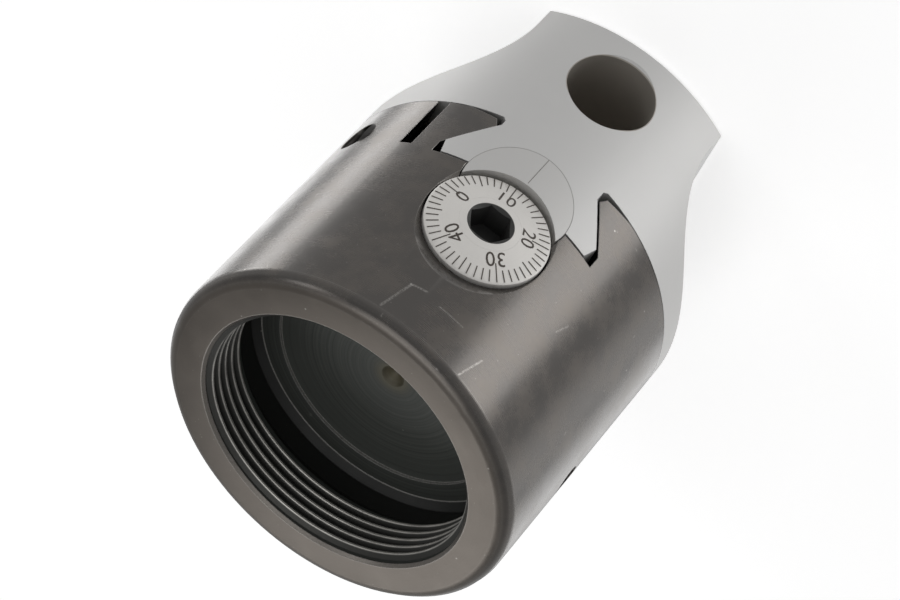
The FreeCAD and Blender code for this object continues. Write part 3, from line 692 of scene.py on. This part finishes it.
def make_piece(name: str, points: np.ndarray, faces: Sequence[Sequence[int]], finish: Finish,
               body: Body) -> bpy.types.Object:
    """Make a mesh piece that rides on a body.

    Args:
        name: The piece's name.
        points: Its corners, in millimetres, one row each.
        faces: Its faces, each a row of corner numbers.
        finish: Its surface finish.
        body: The body that it moves with.

    Returns:
        The new object.
    """
    mesh = bpy.data.meshes.new(name)
    mesh.from_pydata((points * MM).tolist(), [], faces)
    mesh.materials.append(finish.make())
    piece = bpy.data.objects.new(name, mesh)
    bpy.context.scene.collection.objects.link(piece)
    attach(piece, body)
    LOG.info("%s: %d faces on %s", name, len(faces), body)
    return piece


def tube_quads(rows: int, columns: int) -> np.ndarray:
    """Faces of a tube of rows of points, each row a closed ring, without its end caps.

    Row i and column j join to row i + 1 and column j + 1, and the last column joins the first.
    """
    row = np.arange(rows - 1)[:, None] * columns
    here = np.arange(columns)[None, :]
    after = (here + 1) % columns
    corners = [row + here, row + after, row + columns + after, row + columns + here]
    return np.stack(corners, axis=-1).reshape(-1, 4)


@dataclass
class ArborThread:
    """The internal thread of the arbor socket, a closed helical ridge on the socket's wall.

    Attributes:
        root_radius: Radius at the thread's root, a little inside the wall.
        crest_radius: Radius at its crest.
        pitch: Rise per turn.
        top: Height at which it starts, near the mouth.
        bottom: Height at which it runs out.
        root_width: Width of the ridge at its root.
        crest_width: Width of the flat on its crest.
        steps: Sections per turn.
        run_out: Turns over which each end of the ridge fades.
        thin_end: What is left of the section at its ends, so that they stay closed.
    """

    root_radius: float = 19.10
    crest_radius: float = 18.30
    pitch: float = 25.4 / 18
    top: float = 61.3
    bottom: float = 54.2
    root_width: float = 1.22
    crest_width: float = 0.22
    steps: int = 128
    run_out: float = 0.25
    thin_end: float = 0.02

    def build(self) -> bpy.types.Object:
        """Sweep the ridge's section down a helix whose ends fade into the wall.

        The section has its root behind the wall and its crest inwards. At fraction t of the way,
        the centre is at angle 2 pi t turns and height top - pitch * turns * t, and the section
        shrinks almost to nothing over the run-out at each end.

        Returns:
            The ridge's object.
        """
        turns = (self.top - self.bottom) / self.pitch
        count = int(turns * self.steps) + 1
        turn = np.linspace(0.0, turns, count)
        fade = np.clip(np.minimum(turn, turns - turn) / self.run_out, self.thin_end, 1.0)
        angle = turn * 2 * math.pi
        depth = np.array([0.0, 1.0, 1.0, 0.0])
        width = np.array([self.root_width, self.crest_width, -self.crest_width, -self.root_width]) / 2
        reach = (self.root_radius - self.crest_radius) * fade[:, None] * depth
        radius = self.root_radius - reach
        height = self.top - self.pitch * turn[:, None] + width * fade[:, None] ** 0.5
        points = np.stack([radius * np.sin(angle)[:, None], -radius * np.cos(angle)[:, None], height], -1)
        quads = tube_quads(count, 4)
        caps = np.array([[3, 2, 1, 0], [4 * count - 4, 4 * count - 3, 4 * count - 2, 4 * count - 1]])
        faces = np.vstack([quads, caps])[:, ::-1]       # turned to point outwards
        return make_piece("arbor_thread_ridge", points.reshape(-1, 3), faces.tolist(), WORN_HIGHLIT_THREAD,
                          Body.HEAD)


@dataclass
class FeedDial:
    """The graduations and numerals on the dial's conical face.

    Attributes:
        axis_height: Height of the dial's axis.
        rim_face: Place along Y of the face's outer edge.
        rim_radius: Radius of that edge.
        rim_bevel: Bevel outside that edge, over which the line of the cone runs on.
        mouth_radius: Radius of the key socket's mouth.
        crown: Rise of the face from the rim to the mouth.
        count: Number of graduations.
        zero_angle: Angle of the zero line, clockwise from the nose, in degrees.
        line_width: Width of a line.
        start_radius: Outer end of every line.
        lengths: Lengths of the unit, five and ten lines.
        numerals: How many of the graduations carry a number.
        numeral_radius: Where the numerals' middles lie.
        numeral_height: Height of a numeral.
        proud: How far the marks stand above the face.
    """

    axis_height: float = 39.85
    rim_face: float = -24.13
    rim_radius: float = 7.95
    rim_bevel: float = 0.2
    mouth_radius: float = 3.10
    crown: float = 1.17
    count: int = 50
    zero_angle: float = 77.0
    line_width: float = 0.13
    start_radius: float = 7.93
    lengths: tuple[float, float, float] = (1.50, 1.85, 2.40)
    numerals: int = 5
    numeral_radius: float = 5.02
    numeral_height: float = 1.85
    proud: float = 0.012

    def on_face(self, angle: np.ndarray, radius: np.ndarray, side: np.ndarray,
                lift: np.ndarray) -> np.ndarray:
        """Points on the dial's face.

        The face is a cone: at radius r it lies at rim_face less crown times the share of the way
        from the rim to the mouth. An angle of 0 points to the nose and grows towards +X.

        Args:
            angle: Direction of each point's radial line, in radians.
            radius: Distance along that line.
            side: Distance square to it, in the sense of growing angle.
            lift: Height above the face.

        Returns:
            The points, in millimetres.
        """
        out = np.stack([np.sin(angle), np.zeros_like(angle), -np.cos(angle)], -1)
        across = np.stack([np.cos(angle), np.zeros_like(angle), np.sin(angle)], -1)
        flat = out * radius[..., None] + across * side[..., None]
        distance = np.linalg.norm(flat, axis=-1)
        edge = self.rim_radius + self.rim_bevel
        face = self.rim_face - (edge - distance) * self.crown / (edge - self.mouth_radius) - lift
        return flat + np.stack([0 * face, face, 0 * face + self.axis_height], -1)

    def build(self) -> list[bpy.types.Object]:
        """Engrave the dial.

        Returns:
            The graduations' object and the numerals' object.
        """
        return [self.build_lines(), self.build_numerals()]

    def build_lines(self) -> bpy.types.Object:
        """All graduations as one mesh of thin closed bars that follow the cone.

        Line i lies at zero_angle - i * 360 / count. Each bar is a grid of four stations along the
        radius by a ring of four corners.
        """
        index = np.arange(self.count)
        angle = np.radians(self.zero_angle - index * 360 / self.count)
        kind = np.where(index % 10 == 0, 2, np.where(index % 5 == 0, 1, 0))
        length = np.array(self.lengths)[kind]
        share = np.linspace(0.0, 1.0, 4)
        side = np.array([-1.0, 1.0, 1.0, -1.0]) * self.line_width / 2
        lift = np.array([1.0, 1.0, -1.0, -1.0]) * self.proud
        shape = (self.count, 4, 4)
        radius = self.start_radius - length[:, None, None] * share[None, :, None]
        points = self.on_face(np.broadcast_to(angle[:, None, None], shape), np.broadcast_to(radius, shape),
                              np.broadcast_to(side, shape), np.broadcast_to(lift, shape))
        bar = np.vstack([tube_quads(4, 4), [[3, 2, 1, 0], [12, 13, 14, 15]]])
        quads = (index[:, None, None] * 16 + bar).reshape(-1, 4)
        return make_piece("dial_graduations", points.reshape(-1, 3), quads.tolist(), DIAL_INK,
                          Body.FEED)

    def build_numerals(self) -> bpy.types.Object:
        """The numbers 0 to 40, each made flat, then bent on to the cone."""
        meshes = []
        for order in range(self.numerals):
            outline, faces = numeral_mesh(str(order * self.count // self.numerals), self.numeral_height)
            angle = math.radians(self.zero_angle - order * 360 / self.numerals)
            turn = np.full(len(outline), angle)
            lift = np.where(outline[:, 2] > 0, self.proud, -self.proud)
            points = self.on_face(turn, self.numeral_radius + outline[:, 1], -outline[:, 0], lift)
            meshes.append((points, faces))
        starts = np.cumsum([0] + [len(points) for points, _ in meshes[:-1]])
        points = np.vstack([points for points, _ in meshes])
        faces = [[corner + int(start) for corner in face] for start, (_, group) in zip(starts, meshes)
                 for face in group]
        return make_piece("dial_numerals", points, faces, DIAL_INK, Body.FEED)


def numeral_mesh(text: str, height: float) -> tuple[np.ndarray, list[list[int]]]:
    """A number as a thin closed solid, centred on the origin.

    Args:
        text: The number.
        height: Height of its digits, in millimetres.

    Returns:
        Its corners, with x across, y up and z out of the face, and its faces.
    """
    curve = bpy.data.curves.new("numeral", "FONT")
    curve.body = text
    curve.size = 1.0
    curve.extrude = 0.01
    curve.resolution_u = 3
    curve.space_character = 1.06
    holder = bpy.data.objects.new("numeral", curve)
    bpy.context.scene.collection.objects.link(holder)
    bpy.context.view_layer.update()
    mesh = bpy.data.meshes.new_from_object(holder)
    points = np.empty(len(mesh.vertices) * 3)
    mesh.vertices.foreach_get("co", points)
    points = points.reshape(-1, 3)
    faces = [list(face.vertices) for face in mesh.polygons]
    bpy.data.objects.remove(holder)
    bpy.data.curves.remove(curve)
    bpy.data.meshes.remove(mesh)
    low, high = points.min(0), points.max(0)
    points[:, :2] = (points[:, :2] - (low + high)[:2] / 2) * height / (high - low)[1]
    return points, faces


@dataclass
class IndexLine:
    """The line scribed on the half nut's end, at which the dial is read.

    Attributes:
        low: Height of its lower end.
        high: Height of its upper end.
        face: Place along Y of the nut's end face.
        width: Width of the line.
        proud: How far it stands above the face.
    """

    low: float = 25.65
    high: float = 30.80
    face: float = -25.0
    width: float = 0.09
    proud: float = 0.012

    def build(self) -> bpy.types.Object:
        """Make the line as one thin closed bar on the half nut's end."""
        side = np.array([-1.0, 1.0, 1.0, -1.0]) * self.width / 2
        depth = self.face + np.array([-1.0, -1.0, 1.0, 1.0]) * self.proud
        heights = np.array([self.high, self.low])
        points = np.stack([np.tile(side, 2), np.tile(depth, 2), np.repeat(heights, 4)], -1)
        faces = np.vstack([tube_quads(2, 4), [[3, 2, 1, 0], [4, 5, 6, 7]]])[:, ::-1]    # turned outwards
        return make_piece("index_line", points, faces.tolist(), NUT_SCRIBE, Body.SLIDE)


class Assembly:
    """The carried-over solids: their finishes, and shading that keeps true edges sharp."""

    FINISHES: Mapping[Slot, Finish] = {
        Slot.BLACK_OXIDE: BLACK_OXIDE, Slot.GROUND_STEEL: GROUND_STEEL, Slot.DIAL_SATIN: DIAL_SATIN,
        Slot.SCREW_STEEL: SCREW_STEEL, Slot.BRASS: BRASS,
    }

    def __init__(self, frame: Mapping[str, Any], sharp: float = 38.0) -> None:
        """Read the frame.

        Args:
            sharp: The angle between faces past which an edge stays sharp, in degrees.
        """
        self.nodes = frame["nodes"]
        self.slots = {part["node"]: part["material_slot"] for part in frame["record"]["subparts"]}
        self.sharp = sharp

    def dress(self) -> None:
        """Give every node its finish and its shading."""
        materials = {slot: finish.make() for slot, finish in self.FINISHES.items()}
        shading = self.smooth_by_angle()
        for name, node in self.nodes.items():
            slot = self.slots[name]
            node.data.materials.clear()
            node.data.materials.append(materials[slot])
            modifier = node.modifiers.new("smooth_by_angle", "NODES")
            modifier.node_group = shading
            weighted = node.modifiers.new("weighted_normal", "WEIGHTED_NORMAL")
            weighted.keep_sharp = True
            LOG.info("%s: %s", name, slot)

    def smooth_by_angle(self) -> bpy.types.NodeTree:
        """A modifier's tree that joins loose triangles and smooths all but the sharp edges.

        Returns:
            The geometry node tree.
        """
        tree = bpy.data.node_groups.new("smooth_by_angle", "GeometryNodeTree")
        tree.interface.new_socket("Geometry", in_out="INPUT", socket_type="NodeSocketGeometry")
        tree.interface.new_socket("Geometry", in_out="OUTPUT", socket_type="NodeSocketGeometry")
        graph = Graph(tree)
        source = graph.node("NodeGroupInput").outputs[0]
        merged = graph.node("GeometryNodeMergeByDistance", inputs={"Geometry": source,
                                                                   "Distance": JOIN_DISTANCE})
        smooth = graph.node("GeometryNodeSetShadeSmooth", {"domain": "FACE"},
                            {"Geometry": merged.outputs[0], "Shade Smooth": True})
        angle = Value(graph, graph.node("GeometryNodeInputMeshEdgeAngle").outputs["Unsigned Angle"])
        round_edge = angle.apply("LESS_THAN", math.radians(self.sharp))
        edged = graph.node("GeometryNodeSetShadeSmooth", {"domain": "EDGE"},
                           {"Geometry": smooth.outputs[0], "Shade Smooth": round_edge})
        graph.node("NodeGroupOutput", inputs={0: edged.outputs[0]})
        return tree


@dataclass(frozen=True)
class Softbox:
    """A rectangular soft light aimed at the head.

    Attributes:
        name: The lamp's name.
        azimuth: Direction it stands in, in degrees from -Y towards +X.
        elevation: Height of that direction, in degrees.
        distance: From the aim point, in metres.
        size: Width and height, in metres.
        power: Watts.
    """

    name: str
    azimuth: float
    elevation: float
    distance: float
    size: tuple[float, float]
    power: float


@dataclass
class Studio:
    """Camera, floor, world and lights.

    Attributes:
        aim: The point at the picture's centre, in millimetres.
        azimuth: Direction of the camera from the aim point, in degrees from -Y towards +X.
        elevation: Its height above the horizon, in degrees.
        roll: Lean of the camera's up, from upright towards its right, in degrees.
        distance: From the aim point, in millimetres.
        lens: Focal length, in millimetres.
        sensor: Width of the sensor, in millimetres.
        floor_size: Side of the floor, in metres.
        floor_drop: How far the floor lies under the nose, in millimetres.
        floor_white: How white the floor is.
        floor_glow: Light that the floor adds where the camera sees it.
        low_world: Strength of the even light from below the horizon.
        high_world: Strength of the even light from above it.
        horizon: Sine of the elevation at which one passes into the other.
        horizon_blur: The width over which it does.
        softboxes: The lamps.
    """

    aim: tuple[float, float, float] = (1.24, 0.62, 31.97)
    azimuth: float = -8.40
    elevation: float = 39.19
    roll: float = 137.83
    distance: float = 420.6
    lens: float = 130.92
    sensor: float = 36.0
    floor_size: float = 6.0
    floor_drop: float = 0.05
    floor_white: float = 0.86
    floor_glow: float = 0.55
    low_world: float = 0.60
    high_world: float = 0.34
    horizon: float = 0.05
    horizon_blur: float = 0.6
    softboxes: tuple[Softbox, ...] = (
        Softbox("right_box", -47.0, -38.0, 0.9, (0.42, 0.42), 1.25),
        Softbox("right_edge_box", -108.0, -38.0, 0.9, (0.33, 0.42), 0.25),
        Softbox("right_rim_box", -148.0, -38.0, 0.9, (0.45, 0.42), 0.45),
        Softbox("left_box", 103.0, -38.0, 0.9, (0.26, 0.42), 0.95),
        Softbox("left_rim_box", 147.0, -38.0, 0.9, (0.33, 0.42), 0.55),
        Softbox("end_box", 185.0, 42.0, 0.22, (0.10, 0.10), 0.045),
        Softbox("corner_box", 66.0, 38.0, 0.9, (0.24, 0.30), 0.35),
        Softbox("top_box", 0.0, 75.0, 1.2, (0.9, 0.9), 2.2),
    )

    def direction(self, azimuth: float, elevation: float) -> Vector:
        """The unit vector that points in a direction given in degrees."""
        turn, rise = math.radians(azimuth), math.radians(elevation)
        return Vector((math.sin(turn) * math.cos(rise), -math.cos(turn) * math.cos(rise), math.sin(rise)))

    def build(self) -> None:
        """Set up the whole studio."""
        self.place_camera()
        self.light_world()
        self.lay_floor()
        for softbox in self.softboxes:
            self.hang(softbox)
        bpy.context.scene.view_settings.view_transform = "Standard"

    def place_camera(self) -> None:
        """Put the camera where it looks at the aim point with its roll."""
        back = self.direction(self.azimuth, self.elevation)
        level = Vector((0, 0, 1)).cross(back).normalized()
        upright = back.cross(level)
        turn = math.radians(self.roll)
        up = upright * math.cos(turn) + level * math.sin(turn)
        right = up.cross(back)
        camera = bpy.data.cameras.new("camera")
        camera.lens = self.lens
        camera.sensor_width = self.sensor
        camera.clip_start = 0.01
        holder = bpy.data.objects.new("camera", camera)
        bpy.context.scene.collection.objects.link(holder)
        turn_matrix = Matrix((right, up, back)).transposed().to_4x4()
        spot = Vector(self.aim) * MM + back * self.distance * MM
        holder.matrix_world = Matrix.Translation(spot) @ turn_matrix
        bpy.context.scene.camera = holder

    def light_world(self) -> None:
        """Even light from all sides, pure white where the camera sees it."""
        world = bpy.data.worlds.new("studio")
        world.use_nodes = True
        bpy.context.scene.world = world
        graph = Graph(world.node_tree)
        ray = graph.node("ShaderNodeTexCoord").outputs["Generated"]
        rise = Value(graph, graph.node("ShaderNodeSeparateXYZ", inputs={0: ray}).outputs[2])
        change = self.high_world - self.low_world
        level = self.low_world + rise.above(self.horizon, self.horizon_blur) * change
        seen = Value(graph, graph.node("ShaderNodeLightPath").outputs["Is Camera Ray"])
        strength = level + seen * (1.0 - level)
        light = graph.node("ShaderNodeBackground", inputs={"Color": (1.0, 1.0, 1.0), "Strength": strength})
        graph.node("ShaderNodeOutputWorld", inputs={0: light.outputs[0]})

    def lay_floor(self) -> None:
        """A white floor just under the nose, which shows the head's shadow."""
        half, level = self.floor_size / 2, -self.floor_drop * MM
        corners = [(-half, -half, level), (half, -half, level), (half, half, level), (-half, half, level)]
        mesh = bpy.data.meshes.new("floor")
        mesh.from_pydata(corners, [], [(0, 1, 2, 3)])
        material = bpy.data.materials.new("floor_white")
        material.use_nodes = True
        graph = Graph(material.node_tree)
        seen = Value(graph, graph.node("ShaderNodeLightPath").outputs["Is Camera Ray"])
        paint = graph.node("ShaderNodeBsdfDiffuse", inputs={"Color": (self.floor_white,) * 3})
        glow = graph.node("ShaderNodeEmission", inputs={"Color": (1.0, 1.0, 1.0),
                                                        "Strength": seen * self.floor_glow})
        both = graph.node("ShaderNodeAddShader", inputs={0: paint.outputs[0], 1: glow.outputs[0]})
        graph.node("ShaderNodeOutputMaterial", inputs={0: both.outputs[0]})
        mesh.materials.append(material)
        floor = bpy.data.objects.new("floor", mesh)
        bpy.context.scene.collection.objects.link(floor)
        floor.visible_glossy = False
        floor.visible_shadow = False

    def hang(self, softbox: Softbox) -> None:
        """Hang one softbox, aimed at the head.

        Args:
            softbox: The lamp to make.
        """
        light = bpy.data.lights.new(softbox.name, "AREA")
        light.shape = "RECTANGLE"
        light.size, light.size_y = softbox.size
        light.energy = softbox.power
        holder = bpy.data.objects.new(softbox.name, light)
        bpy.context.scene.collection.objects.link(holder)
        back = self.direction(softbox.azimuth, softbox.elevation)
        holder.location = Vector(self.aim) * MM + back * softbox.distance
        holder.rotation_euler = back.to_track_quat("Z", "Y").to_euler()


def main() -> None:
    """Load the frame, dress the solids, add the fine marks and set up the studio."""
    logging.basicConfig(level=logging.INFO, format="%(message)s")
    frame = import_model()
    Assembly(frame).dress()
    for group in (ArborThread(), FeedDial(), IndexLine()):
        group.build()
    Studio().build()


if __name__ == "__main__":
    main()
